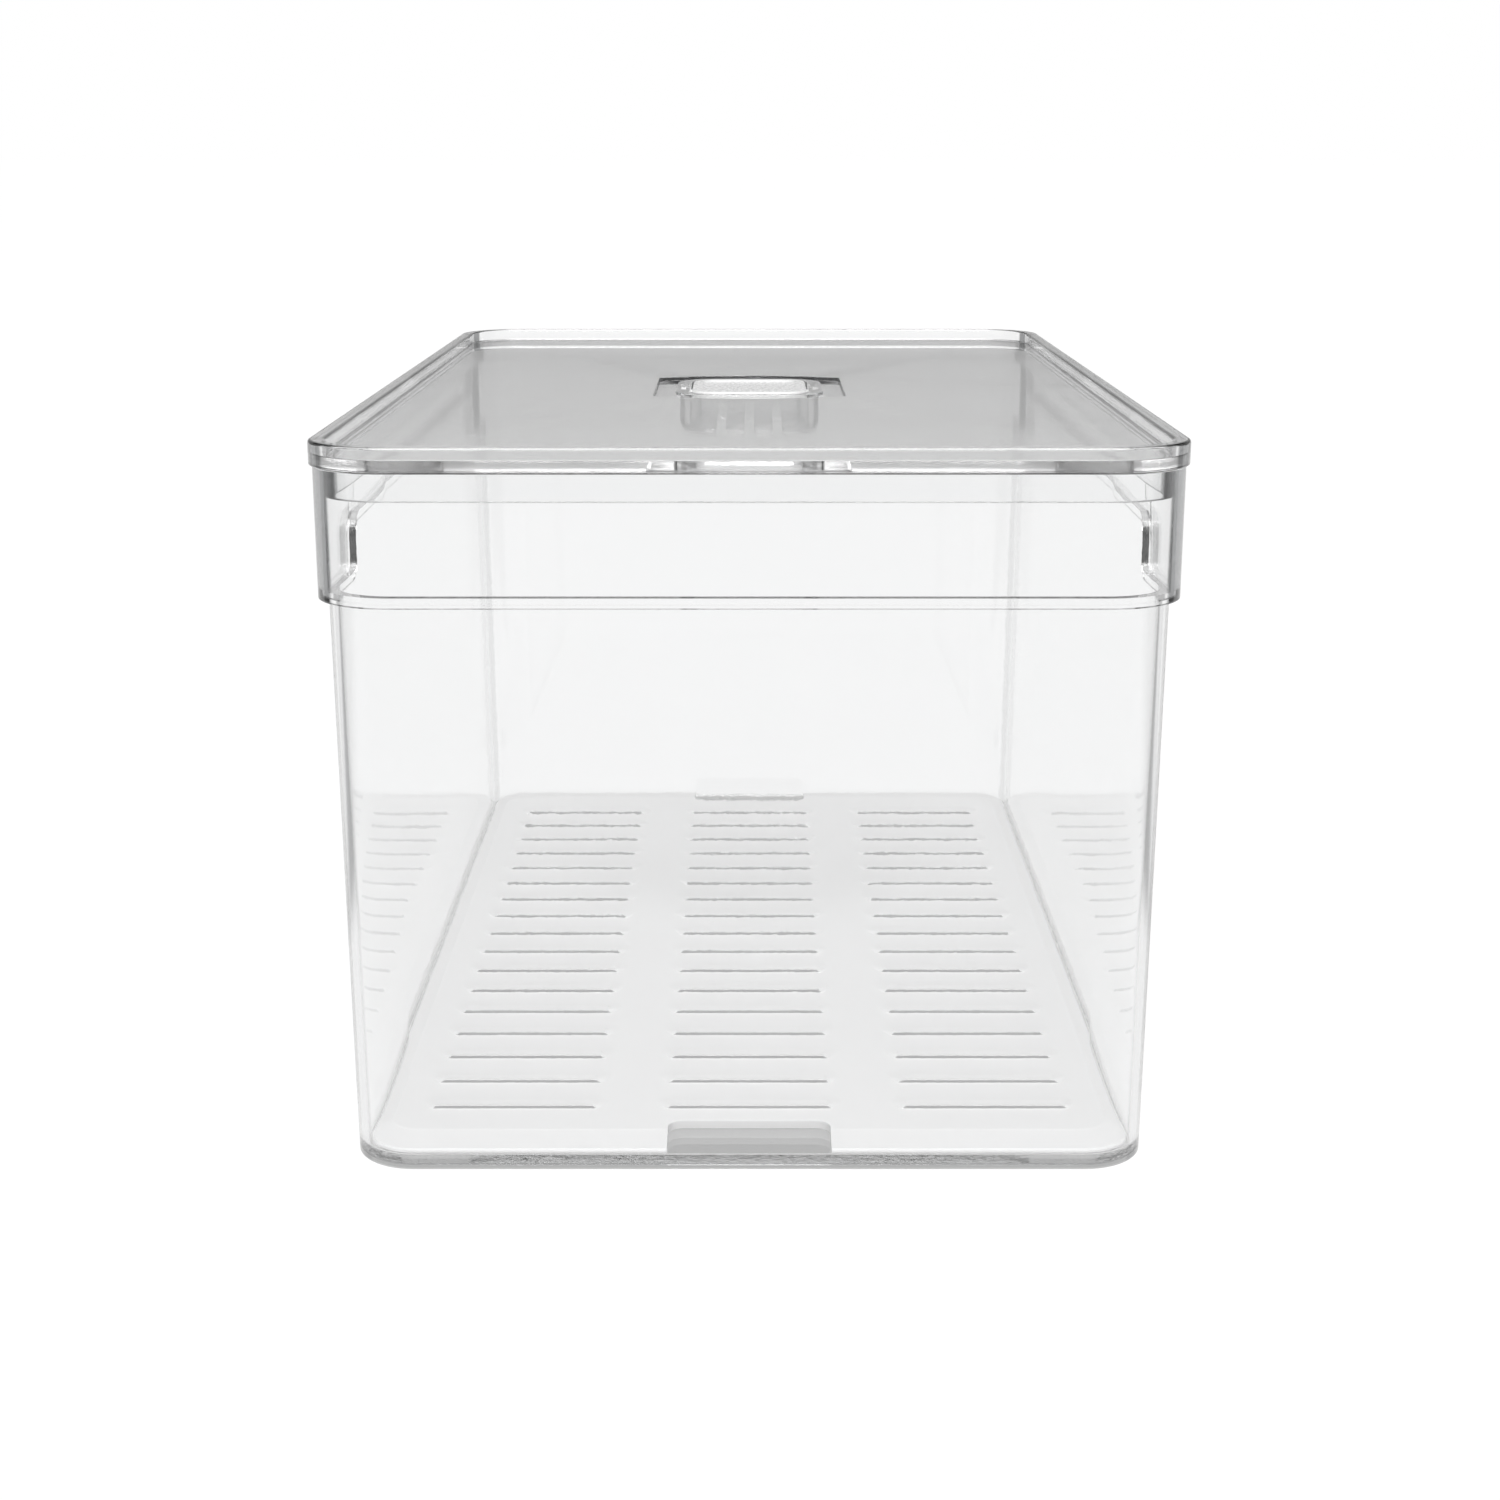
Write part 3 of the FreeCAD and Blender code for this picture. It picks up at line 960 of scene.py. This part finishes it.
@dataclass
class VentHousing:
    """Clear cup in the lid: flange, well, drain slots through its foot, and a bore at each end for a pin."""

    finish: ClearPlastic
    box: NodeBox = field(default_factory=lambda: NodeBox.of("vent_housing"))
    flap: NodeBox = field(default_factory=lambda: NodeBox.of("vent_flap"))
    flange: float = 1.3
    flange_t: float = 1.0
    corner: float = 10.7
    wall: float = 3.2
    floor: float = 1.8
    pin_radius: float = 1.0
    pin_play: float = 0.05
    pin_below_top: float = 2.3
    bore_past: float = 0.2
    overshoot: float = 1.0
    slots: int = 3
    slot_pitch: float = 8.6
    slot_width: float = 3.0
    slot_height: float = 4.5
    foot_round: float = 2.6
    foot_support: float = 6.0
    flange_round: float = 0.2
    lip_round: float = 0.3
    mouth_round: float = 0.4
    well_round: float = 1.0
    well_support: float = 5.0
    catch_proud: float = 0.6
    catch_sunk: float = 0.02
    catch_height: float = 1.2
    catch_half: float = 6.0
    catch_below_top: float = 2.9
    shaded_foot_rise: float = 0.6
    shaded_foot_share: float = 0.3
    edge: float = 0.2

    def cup(self) -> Piece:
        """The cup and its flange, before anything is cut from them.

        Returns:
            The cup.
        """
        plan = Outline(self.box.half_x - self.flange, self.box.half_y - self.flange, self.corner,
                       self.box.center_y)
        top = self.box.high.z
        low = self.box.low.z
        section = rounded([
            (self.foot_support, low, 0.0),
            (0.0, low, self.foot_round),
            (0.0, top - self.flange_t, self.flange_round),
            (-self.flange, top - self.flange_t, self.flange_round),
            (-self.flange, top, self.lip_round),
            (self.wall, top, self.mouth_round),
            (self.wall, low + self.floor, self.well_round),
            (self.wall + self.well_support, low + self.floor, 0.0),
        ])
        skin = Skin()
        skin.chain([plan.inset(inset).ring(z) for inset, z in section])
        return skin.finish("vent_cup")

    def openings(self) -> Piece:
        """Everything that is cut from the cup: drain slots and the pins' bores.

        Returns:
            The cutter.
        """
        skin = Skin()
        past = self.overshoot
        for index in range(self.slots):
            x = (index - (self.slots - 1) / 2) * self.slot_pitch
            half = self.slot_width / 2
            skin.block((x - half, self.box.low.y - past, self.box.low.z - past),
                       (x + half, self.box.high.y + past, self.box.low.z + self.slot_height))
        height = self.flap.high.z - self.pin_below_top
        inner = self.box.half_x - self.flange - self.wall - past
        for side in (-1, 1):
            start = Vector((side * inner, self.box.center_y, height))
            end = Vector((side * (self.flap.half_x + self.bore_past), self.box.center_y, height))
            skin.pin(self.pin_radius + self.pin_play, start, end)
        return skin.finish("vent_cup_cutter")

    def catches(self) -> Piece:
        """The two catches that hold the cup under the lid's plate.

        Returns:
            Both catches as one mesh.
        """
        skin = Skin()
        side_x = self.box.half_x - self.flange
        y = self.box.center_y
        top = self.box.high.z - self.catch_below_top
        for side in (-1, 1):
            skin.block((side * (side_x - self.catch_sunk), y - self.catch_half, top - self.catch_height),
                       (side * (side_x + self.catch_proud), y + self.catch_half, top))
        return skin.finish("vent_cup_catches")

    def build(self, effects: Effects) -> None:
        """Builds the cup and its catches and dresses them.

        Args:
            effects: Shared shader groups.
        """
        cup = self.cup()
        carve(cup, self.openings())
        soften(cup, self.edge)
        catches = self.catches()
        soften(catches, self.edge)
        # painted shade, partly deep plastic: upright faces round the cup's floor darken towards the corner
        # tint
        foot = replace(self.finish, slab_top=self.box.low.z + self.floor + self.shaded_foot_rise,
                       slab_share=self.shaded_foot_share)
        finish = foot.material(effects)
        dress(cup, finish, Body.LID, Slot.CLEAR, "vent_housing")
        dress(catches, finish, Body.LID, Slot.CLEAR)


@dataclass
class VentFlap:
    """Rocker that closes the vent: soft rim, sunk panel, hollow underside, a pin at each end."""

    finish: FrostedPlastic
    box: NodeBox = field(default_factory=lambda: NodeBox.of("vent_flap"))
    height: float = 3.0
    corner: float = 7.0
    wall: float = 1.6
    under_round: float = 0.4
    under_support: float = 3.0
    skirt_round: float = 0.3
    top_round: float = 0.9
    rim: float = 2.9
    dish: float = 0.6
    dish_slope: float = 0.8
    dish_round: float = 0.5
    dish_support: float = 2.2
    pin_radius: float = 1.0
    pin_length: float = 2.4
    pin_sunk: float = 0.5
    pin_below_top: float = 2.3
    round_steps: int = 5
    edge: float = 0.15

    def build(self, effects: Effects) -> None:
        """Skins the flap with its pins and dresses it.

        Args:
            effects: Shared shader groups.
        """
        plan = Outline(self.box.half_x - self.pin_length, self.box.half_y, self.corner, self.box.center_y)
        top = self.box.high.z
        low = top - self.height
        under = top - self.wall
        panel = self.rim + self.dish_slope
        section = rounded([
            (self.wall + self.under_support, under, 0.0),
            (self.wall, under, self.under_round),
            (self.wall, low, self.skirt_round),
            (0.0, low, self.skirt_round),
            (0.0, top, self.top_round),
            (self.rim, top, self.dish_round),
            (panel, top - self.dish, self.dish_round),
            (panel + self.dish_support, top - self.dish, 0.0),
        ], steps=self.round_steps)
        skin = Skin()
        skin.chain([plan.inset(inset).ring(z) for inset, z in section])
        height = top - self.pin_below_top
        for side in (-1, 1):
            start = Vector((side * (plan.half_x - self.pin_sunk), self.box.center_y, height))
            skin.pin(self.pin_radius, start, Vector((side * self.box.half_x, self.box.center_y, height)))
        flap = skin.finish("vent_flap_rocker")
        soften(flap, self.edge)
        dress(flap, self.finish.material(effects), Body.FLAP, Slot.FROSTED, "vent_flap")


@dataclass(frozen=True)
class TrayPlan:
    """Plan of the tray, with a finger notch in its front and back ends."""

    half_x: float
    half_y: float
    radius: float
    notch_half: float
    notch_end: float
    notch_radius: float
    least_radius: float = 1.0
    corner_steps: int = 12
    notch_steps: int = 5

    def drawn_in(self, x: float, y: float, notch: float) -> TrayPlan:
        """The plan drawn in at the sides and the ends, with wider notches.

        Args:
            x: How far the sides come in.
            y: How far the ends come in.
            notch: How far the notches widen.

        Returns:
            The new plan.
        """
        radius = max(self.radius - min(x, y), self.least_radius)
        return replace(self, half_x=self.half_x - x, half_y=self.half_y - y, radius=radius,
                       notch_half=self.notch_half + notch, notch_end=self.notch_end - notch,
                       notch_radius=self.notch_radius + notch)

    def points(self) -> list[Pair]:
        """Points round the plan, counter-clockwise.

        Returns:
            The points.
        """
        cx = self.half_x - self.radius
        cy = self.half_y - self.radius
        nx = self.notch_half - self.notch_radius
        ny = self.notch_end + self.notch_radius
        half = arc((nx, -ny), self.notch_radius, 90.0, 0.0, self.notch_steps)
        half += [(self.notch_half, -self.half_y)]
        half += arc((cx, -cy), self.radius, -90.0, 0.0, self.corner_steps)
        half += arc((cx, cy), self.radius, 0.0, 90.0, self.corner_steps)
        half += [(self.notch_half, self.half_y)]
        half += arc((nx, ny), self.notch_radius, 0.0, -90.0, self.notch_steps)
        return half + [(-x, -y) for x, y in half]


@dataclass
class DrainTray:
    """White tray: sloped border, finger notches, and rows of raised hoods over its drain slots."""

    finish: SatinPlastic
    box: NodeBox = field(default_factory=lambda: NodeBox.of("drain_tray"))
    corner: float = 13.2
    hood_rise: float = 1.0
    edge_height: float = 1.0
    border_x: float = 4.0
    border_y: float = 9.6
    plate: float = 1.6
    notch_half: float = 21.8
    notch_in: float = 15.6
    notch_radius: float = 4.0
    rows: int = 17
    columns: int = 3
    pitch_y: float = 17.8
    pitch_x: float = 64.4
    hood_half: float = 25.8
    hood_end: float = 22.9
    hood_taper: float = 1.6
    hood_swell: float = 0.6
    hood_length: float = 11.4
    end_fall: float = 0.07
    back_fall: float = 0.15
    lip: float = 0.26
    mouth_least: float = 0.3
    slot_length: float = 4.0
    across: int = 26
    along: int = 8
    soft: float = 0.35

    def plans(self) -> list[tuple[TrayPlan, float]]:
        """Plans and heights from the top plate over the border and round to the underside.

        Returns:
            Each plan with its height.
        """
        base = TrayPlan(self.box.half_x, self.box.half_y, self.corner, self.notch_half,
                        self.box.half_y - self.notch_in, self.notch_radius)
        top = self.box.high.z - self.hood_rise
        low = self.box.low.z
        edge = low + self.edge_height
        soft = self.soft
        return [
            (base.drawn_in(self.border_x + 2 * soft, self.border_y + 2 * soft, soft), top),
            (base.drawn_in(self.border_x + soft, self.border_y + soft, 0.3 * soft), top - 0.2 * soft),
            (base.drawn_in(self.border_x - soft, self.border_y - soft, 0.0), top - 0.8 * soft),
            (base.drawn_in(soft, soft, 0.0), edge + 0.5 * soft),
            (base.drawn_in(0.0, 0.0, 0.0), edge - soft),
            (base.drawn_in(0.0, 0.0, 0.0), low + 0.3 * soft),
            (base.drawn_in(0.3 * soft, 0.3 * soft, 0.3 * soft), low),
            (base.drawn_in(self.plate, self.plate, self.plate), low),
            (base.drawn_in(self.border_x + self.plate, self.border_y + self.plate, self.plate),
             top - self.plate),
        ]

    def hood_width(self, y: float) -> float:
        """Half width of a hood at a distance y from its middle."""
        share = 2 * abs(y) / self.hood_length
        return self.hood_half - (self.hood_half - self.hood_end) * share ** self.hood_taper

    def hood_height(self, u: float, v: float) -> float:
        """Height of a hood's skin.

        Args:
            u: Place across it, from -1 to 1.
            v: Place along it, from 0 at the back to 1 at the lip.

        Returns:
            Height above the plate.
        """
        climb = v * v * (1 + self.hood_swell * (1 - v))
        fall = min((1 - abs(u)) / (self.end_fall + self.back_fall * (1 - v)), 1.0)
        return self.hood_rise * climb * fall * fall * (3 - 2 * fall)

    def hood_rows(self, x: float, y: float, top: float) -> list[list[Vector]]:
        """Rows of points over a hood.

        Args:
            x: Middle of the hood.
            y: Middle of the hood.
            top: Height of the plate's top.

        Returns:
            The rows, from its back to its lip.
        """
        across = [math.sin(math.pi / 2 * (2 * i / self.across - 1)) for i in range(self.across + 1)]
        rows = []
        for j in range(self.along + 1):
            v = j / self.along
            dy = self.hood_length / 2 - self.hood_length * v
            width = self.hood_width(dy)
            rows.append([Vector((x + u * width, y + dy, top + self.hood_height(u, v))) for u in across])
        return rows

    def add_hood(self, skin: Skin, x: float, y: float) -> tuple[list[Pair], list[Pair]]:
        """Adds one hood and the slot under it.

        Args:
            skin: Mesh that takes it.
            x: Middle of the hood.
            y: Middle of the hood.

        Returns:
            The hood's outline on the plate, and the slot's outline on the underside.
        """
        top = self.box.high.z - self.hood_rise
        under = top - self.plate
        front = -self.hood_length / 2
        rows = self.hood_rows(x, y, top)
        made = [skin.ring(row) for row in rows]
        for first, second in zip(made, made[1:]):
            skin.strip(first, second, closed=False)
        lips = rows[-1]
        open_at = [i for i, point in enumerate(lips) if point.z - self.lip > top + self.mouth_least]
        first, last = open_at[0] - 1, open_at[-1] + 1
        span = range(first, last + 1)
        mouth = [max(lips[i].z - self.lip, top) if first < i < last else top for i in range(len(lips))]
        plate_row = [Vector((point.x, y + front, top)) for point in lips]
        ceiling = [Vector((p.x, p.y, mouth[i])) for i, p in enumerate(plate_row)]
        skin.strip(skin.ring(lips), skin.ring(ceiling), closed=False)
        inner = [Vector((plate_row[i].x, y + front + self.slot_length, mouth[i])) for i in span]
        bottom_back = [Vector((p.x, p.y, under)) for p in inner]
        bottom_front = [Vector((plate_row[i].x, y + front, under)) for i in span]
        skin.strip(skin.ring([ceiling[i] for i in span]), skin.ring(inner), closed=False)
        skin.strip(skin.ring(inner), skin.ring(bottom_back), closed=False)
        skin.strip(skin.ring([plate_row[i] for i in span]), skin.ring(bottom_front), closed=False)
        for index, own in ((first, 0), (last, -1)):
            cheek = [plate_row[index], inner[own], bottom_back[own], bottom_front[own]]
            skin.mesh.faces.new(skin.ring(cheek))
        flat = [[(point.x, point.y) for point in row] for row in (plate_row, *reversed(rows[:-1]))]
        right = [row[-1] for row in flat[1:]]
        back = flat[-1][-2::-1]
        left = [row[0] for row in flat[-2:0:-1]]
        outline = flat[0] + right + back + left
        slot = [(p.x, p.y) for p in bottom_front] + [(p.x, p.y) for p in reversed(bottom_back)]
        return outline, slot

    @staticmethod
    def sheet(skin: Skin, outline: Sequence[Pair], holes: Sequence[Sequence[Pair]], z: float) -> None:
        """Fills a level sheet between an outline and its holes.

        Args:
            skin: Mesh that takes it.
            outline: Outer edge.
            holes: Edges of the holes.
            z: Height of the sheet.
        """
        points = []
        edges = []
        faces = []
        for loop in (outline, *holes):
            face = [len(points) + i for i in range(len(loop))]
            points += [Vector(point) for point in loop]
            edges += list(zip(face, face[1:] + face[:1]))
            faces.append(face)
        places, _, triangles, _, _, origin = delaunay_2d_cdt(points, edges, faces, INSIDE, NEAR)
        row = skin.ring([Vector((p.x, p.y, z)) for p in places])
        for triangle, owners in zip(triangles, origin):
            if owners == [0]:
                skin.mesh.faces.new([row[i] for i in triangle])

    def build(self, effects: Effects) -> None:
        """Skins the tray and dresses it.

        Args:
            effects: Shared shader groups.
        """
        skin = Skin()
        plans = self.plans()
        rows = [skin.ring([Vector((x, y, z)) for x, y in plan.points()]) for plan, z in plans]
        for first, second in zip(rows, rows[1:]):
            skin.strip(first, second)
        outlines = []
        slots = []
        for column in range(self.columns):
            for row in range(self.rows):
                x = (column - (self.columns - 1) / 2) * self.pitch_x
                y = (row - (self.rows - 1) / 2) * self.pitch_y
                outline, slot = self.add_hood(skin, x, y)
                outlines.append(outline)
                slots.append(slot)
        self.sheet(skin, plans[0][0].points(), outlines, plans[0][1])
        self.sheet(skin, plans[-1][0].points(), slots, plans[-1][1])
        tray = skin.finish("drain_tray_louvred")
        flat_faces(tray, keep_sharp=True)
        self.mark_sharp(tray)
        dress(tray, self.finish.material(effects), Body.TRAY, Slot.WHITE, "drain_tray")

    @staticmethod
    def mark_sharp(tray: Piece) -> None:
        """Keeps the slots' edges crisp in shading.

        Args:
            tray: The tray.
        """
        mesh = bmesh.new()
        mesh.from_mesh(tray.data)
        for edge in mesh.edges:
            if len(edge.link_faces) == 2 and edge.calc_face_angle() > SHARP:
                edge.smooth = False
        mesh.to_mesh(tray.data)
        mesh.free()


# ---------------------------------------------------------------------------- the studio


@dataclass
class Studio:
    """Glowing white floor, dark sides, a soft lamp high up ahead, and a camera in front of the bin.

    Lengths are in metres, except for the painted shade under the bin, which follows its foot in millimetres.
    """

    lens: float = 55.36
    sensor: float = 36.0
    clip: Pair = (0.02, 100.0)
    distance: float = 0.7345
    eye_height: float = 0.26262
    eye_x: float = 0.0002
    pitch: float = 14.84
    floor_half: float = 30.0
    floor_cells: int = 8
    paper: Colour = (0.05, 0.05, 0.05)
    paper_glow: float = 0.985
    foot_inset: float = 4.2
    foot_corner: float = 16.5
    shade_blur: float = 2.0
    shade_level: float = 0.5
    flag_glow: float = 0.45
    flag_spread: float = 2.0
    flag_floor: Pair = (0.12, 0.28)
    flag_sky: Pair = (0.08, 0.2)
    sky: tuple[Pair, ...] = ((0.03, 1.0), (0.055, 0.4), (0.29, 0.4), (0.38, 0.05), (0.72, 0.05), (0.86, 0.9))
    key_power: float = 132.0
    key_size: float = 3.0
    key_height: float = 3.6
    key_ahead: float = 1.9
    bounces: int = 40
    glossy_bounces: int = 36
    transparent_bounces: int = 32

    def floor(self) -> None:
        """White floor that the bin stands on."""
        mesh = bmesh.new()
        bmesh.ops.create_grid(mesh, x_segments=self.floor_cells, y_segments=self.floor_cells,
                              size=self.floor_half)
        data = bpy.data.meshes.new("studio_floor")
        mesh.to_mesh(data)
        mesh.free()
        floor = bpy.data.objects.new("studio_floor", data)
        bpy.context.scene.collection.objects.link(floor)
        paper = bpy.data.materials.new("white_paper")
        paper.use_nodes = True
        tree = paper.node_tree
        shader = tree.nodes["Principled BSDF"]
        shader.inputs["Base Color"].default_value = (*self.paper, 1)
        shader.inputs["Roughness"].default_value = 1.0
        shader.inputs["Specular IOR Level"].default_value = 0.0
        shader.inputs["Emission Color"].default_value = (*WHITE, 1)
        place = node(tree, "NewGeometry").outputs["Position"]
        tone = self.side_tone(tree, place, self.paper_glow, self.flag_floor)
        # painted shade: the floor glows less under the bin
        glow = calc(tree, "MULTIPLY", tone, self.painted_foot_shade(tree, place))
        tree.links.new(glow, shader.inputs["Emission Strength"])
        data.materials.append(paper)

    def painted_foot_shade(self, tree: Tree, place: Socket) -> Socket:
        """Painted shadow of the bin: the floor's glow turned down in a rounded rectangle inside its foot.

        Args:
            tree: Node tree of the floor.
            place: Point on the floor.

        Returns:
            Share of the light that is left.
        """
        foot = NodeBox.of("bin_body")
        drawn_in = self.foot_inset + self.foot_corner
        core = Vector((foot.half_x - drawn_in, foot.half_y - drawn_in, 0.0))
        away = node(tree, "VectorMath", {0: place}, operation="ABSOLUTE").outputs[0]
        past = node(tree, "VectorMath", {0: away, 1: core * MM}, operation="SUBTRACT").outputs[0]
        out = node(tree, "VectorMath", {0: past, 1: (0, 0, 0)}, operation="MAXIMUM").outputs[0]
        reach = node(tree, "VectorMath", {0: out}, operation="LENGTH").outputs["Value"]
        edge = self.foot_corner * MM
        return remap(tree, reach, (edge - self.shade_blur * MM, edge), (self.shade_level, 1.0))

    def side_tone(self, tree: Tree, place: Socket, light: float, change: Pair) -> Socket:
        """Light ahead and behind, darker out to both sides, except where the camera looks straight at it.

        Args:
            tree: Node tree of the floor or the world.
            place: Point on the floor, or direction.
            light: Level ahead and behind.
            change: Where the change to the sides' level starts and ends.

        Returns:
            The level.
        """
        parts = node(tree, "SeparateXYZ", {0: place}).outputs
        across = calc(tree, "ABSOLUTE", parts["X"])
        out = calc(tree, "MULTIPLY_ADD", calc(tree, "ABSOLUTE", parts["Y"]), -self.flag_spread, across)
        side = remap(tree, out, change, smooth=True)
        unseen = calc(tree, "SUBTRACT", 1.0, node(tree, "LightPath").outputs["Is Camera Ray"])
        return remap(tree, calc(tree, "MULTIPLY", side, unseen), (0.0, 1.0), (light, self.flag_glow))

    def world(self) -> None:
        """White round the horizon, a dark band above it, and light again overhead."""
        world = bpy.data.worlds.new("studio")
        bpy.context.scene.world = world
        world.use_nodes = True
        tree = world.node_tree
        tree.nodes.clear()
        where = node(tree, "TexCoord").outputs["Generated"]
        ramp = node(tree, "ValToRGB", {0: node(tree, "SeparateXYZ", {0: where}).outputs["Z"]})
        stops = ramp.color_ramp.elements
        for index, (place, level) in enumerate(self.sky):
            stop = stops[index] if index < len(stops) else stops.new(place)
            stop.position = place
            stop.color = (level, level, level, 1)
        seen = node(tree, "LightPath").outputs["Is Camera Ray"]
        tone = blend(tree, seen, ramp.outputs[0], WHITE)
        sides = self.side_tone(tree, where, 1.0, self.flag_sky)
        glow = node(tree, "Background", {"Color": tone, "Strength": sides})
        node(tree, "OutputWorld", {0: glow.outputs[0]})

    def lights(self) -> None:
        """One large soft lamp above and ahead of the bin."""
        lamp = bpy.data.lights.new("overhead_softbox", "AREA")
        lamp.shape = "DISK"
        lamp.size = self.key_size
        lamp.energy = self.key_power
        place = bpy.data.objects.new("overhead_softbox", lamp)
        place.location = (0.0, -self.key_ahead, self.key_height)
        place.rotation_euler = (math.atan2(self.key_ahead, self.key_height), 0.0, 0.0)
        bpy.context.scene.collection.objects.link(place)

    def camera(self) -> None:
        """Camera in front of the bin, looking slightly down on it."""
        data = bpy.data.cameras.new("camera")
        data.lens = self.lens
        data.sensor_width = self.sensor
        data.clip_start, data.clip_end = self.clip
        eye = bpy.data.objects.new("camera", data)
        eye.location = (self.eye_x, -self.distance, self.eye_height)
        eye.rotation_euler = (math.radians(90.0 - self.pitch), 0.0, 0.0)
        bpy.context.scene.collection.objects.link(eye)
        bpy.context.scene.camera = eye

    def build(self) -> None:
        """Sets up the studio."""
        self.floor()
        self.world()
        self.lights()
        self.camera()
        scene = bpy.context.scene
        scene.view_settings.view_transform = "Standard"
        scene.cycles.max_bounces = self.bounces
        scene.cycles.transmission_bounces = self.bounces
        scene.cycles.glossy_bounces = self.glossy_bounces
        scene.cycles.transparent_max_bounces = self.transparent_bounces
        log.info("studio ready")


def main() -> None:
    """Loads the frame, builds every moulding round it and sets up the studio."""
    logging.basicConfig(level=logging.INFO, format="%(name)s: %(message)s")
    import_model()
    effects = Effects()
    crystal = ClearPlastic("clear_tub_plastic", (0.945, 0.947, 0.948), (0.938, 0.94, 0.941))
    Tub(crystal).build(effects)
    # near-black clear finish: painted shade on the lid's recess step and lowest outer edge
    step = replace(crystal, name="clear_plastic_painted_shade", tint=(0.015, 0.015, 0.016),
                   deep_tint=(0.02, 0.02, 0.021))
    cup = replace(crystal, name="clear_vent_plastic", tint=(0.9, 0.902, 0.903),
                  deep_tint=(0.87, 0.872, 0.873), corner_shade_tint=(0.3, 0.305, 0.31))
    Lid(replace(crystal, name="clear_lid_plastic"), step).build(effects)
    VentHousing(cup).build(effects)
    VentFlap(FrostedPlastic("frosted_vent_plastic", (0.85, 0.85, 0.85), (0.89, 0.89, 0.89))).build(effects)
    DrainTray(SatinPlastic("white_tray_plastic", (0.92, 0.92, 0.92), (0.945, 0.945, 0.945))).build(effects)
    Studio().build()


if __name__ == "__main__":
    main()
